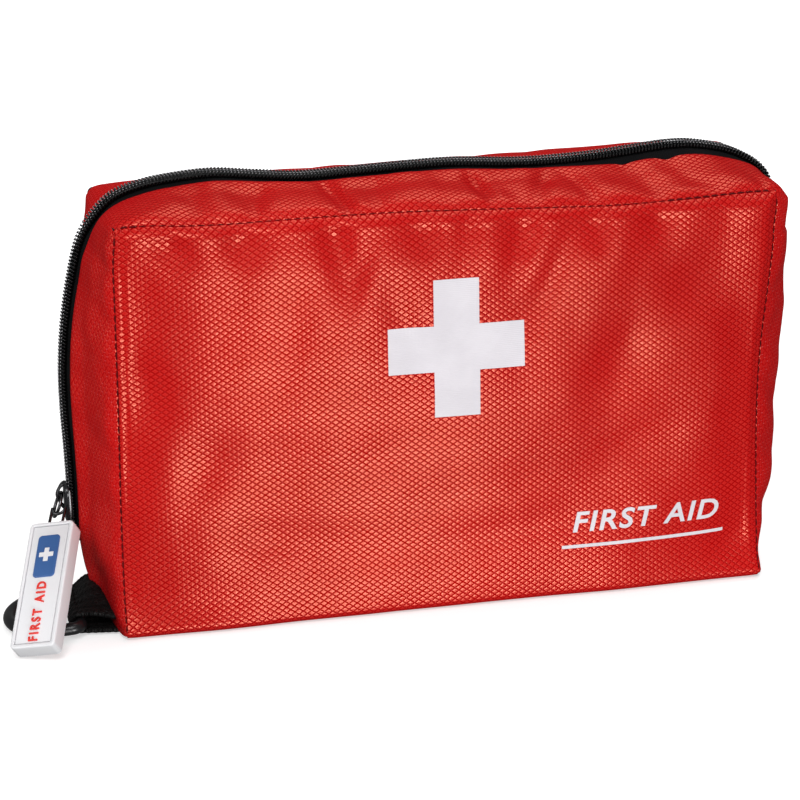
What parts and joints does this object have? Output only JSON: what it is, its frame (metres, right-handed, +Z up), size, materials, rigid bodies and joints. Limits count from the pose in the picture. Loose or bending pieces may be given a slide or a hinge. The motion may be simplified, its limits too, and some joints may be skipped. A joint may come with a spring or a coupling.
{
  "type": "soft first aid kit",
  "caption": "Soft padded first aid pouch that stands on its base, with a zipped front flap, pull tag, webbing loop with D-ring, inside pockets and contents.",
  "frame": {"origin": "middle of the base, on the surface it stands on", "axes": "+X along the width to the right seen from the front, +Y to the back, +Z up"},
  "size_m": [0.2755, 0.0764, 0.1455],
  "materials": {
    "red_weave": "satin",
    "zip_tape": "matte",
    "zip_coil": "gloss",
    "zip_stop_metal": "satin",
    "slider_metal": "gloss",
    "wire_steel": "satin",
    "tag_white": "satin",
    "tag_blue": "satin",
    "print_white": "satin",
    "tag_red": "satin",
    "webbing_black": "matte",
    "thread_black": "matte",
    "ring_plastic": "satin",
    "binding_black": "matte",
    "mesh_pocket": "matte",
    "elastic_black": "matte",
    "bandage_cream": "matte",
    "packet_paper": "matte",
    "foil_gold": "gloss",
    "packet_green": "satin",
    "sachet_foil": "gloss",
    "glove_wrap": "satin",
    "tape_white": "matte",
    "spool_plastic": "satin",
    "instrument_steel": "satin"
  },
  "bodies": {
    "root": {"bandage_rolls": "bandage_cream", "body_panel": "red_weave", "elastic_loops": "elastic_black", "gauze_packs": "packet_paper", "glove_pack": "glove_wrap", "leaflet": "packet_paper", "lettering_print": "print_white", "rear_gusset": "red_weave", "rear_pocket": "mesh_pocket", "rear_pocket_binding": "binding_black", "rear_seam_binding": "binding_black", "rear_zip_coil": "zip_coil", "rear_zip_tape": "zip_tape", "rescue_blanket": "foil_gold", "scissors_half_rear": "instrument_steel", "scissors_rivet": "instrument_steel", "side_gusset_left": "red_weave", "side_gusset_right": "red_weave", "tape_spool": "spool_plastic", "triangular_bandage": "packet_paper", "tweezers_arm_left": "instrument_steel", "zip_end_coil": "zip_coil", "zip_end_tape": "zip_tape", "zip_stops": "zip_stop_metal"},
    "flap": {"flap_panel": "red_weave", "front_gusset": "red_weave", "front_zip_tape": "zip_tape", "front_zip_coil": "zip_coil", "cross_print": "print_white", "front_seam_binding": "binding_black", "flap_pocket": "mesh_pocket", "flap_pocket_binding": "binding_black", "plaster_pack": "packet_green", "wipe_sachets": "sachet_foil", "safety_pins": "instrument_steel"},
    "slider": {"slider_body": "slider_metal", "slider_crown": "slider_metal"},
    "puller": {"puller_ring": "slider_metal"},
    "tag": {"wire_clip": "wire_steel", "tag_body": "tag_white", "tag_badge": "tag_blue", "tag_cross": "print_white", "tag_ribs": "tag_red"},
    "loop": {"webbing_loop": "webbing_black", "loop_bar_tack": "thread_black"},
    "d_ring": {"d_ring": "ring_plastic"},
    "tape_roll": {"tape_roll": "tape_white"},
    "scissors_front_half": {"scissors_half_front": "instrument_steel"},
    "tweezers_arm": {"tweezers_arm_right": "instrument_steel"}
  },
  "joints": [
    {"name": "flap_fold", "type": "hinge", "parent": "root", "child": "flap", "pos_m": [0, -0.03, 0.028], "axis": [1, 0, 0], "range_deg": [0, 100]},
    {"name": "slider_travel", "type": "slide", "parent": "root", "child": "slider", "axis": [0, 0, 1], "range_m": [0, 0.055]},
    {"name": "puller_swing", "type": "hinge", "parent": "slider", "child": "puller", "pos_m": [-0.1277, 0, 0.041], "axis": [0, 1, 0], "range_deg": [0, 110]},
    {"name": "tag_swing", "type": "hinge", "parent": "puller", "child": "tag", "pos_m": [-0.1285, -0.0022, 0.0387], "axis": [-0.8764, 0.4583, -0.148], "range_deg": [0, 70]},
    {"name": "loop_lift", "type": "hinge", "parent": "root", "child": "loop", "pos_m": [-0.11565, -0.0115, 0.005], "axis": [-0.2516, 0.9678, 0], "range_deg": [0, 12]},
    {"name": "d_ring_swing", "type": "hinge", "parent": "loop", "child": "d_ring", "pos_m": [-0.1256, -0.0115, 0.0038], "axis": [0, 1, 0], "range_deg": [0, 22]},
    {"name": "tape_roll_spin", "type": "hinge", "parent": "root", "child": "tape_roll", "pos_m": [-0.072, -0.007, 0.025], "axis": [0, 1, 0], "continuous": true},
    {"name": "scissors_open", "type": "hinge", "parent": "root", "child": "scissors_front_half", "pos_m": [-0.066, 0.0125, 0.06], "axis": [0, 1, 0], "range_deg": [0, 35]},
    {"name": "tweezers_squeeze", "type": "hinge", "parent": "root", "child": "tweezers_arm", "pos_m": [-0.01685, 0.0144, 0.0835], "axis": [0, 1, 0], "range_deg": [0, 2]}
  ]
}
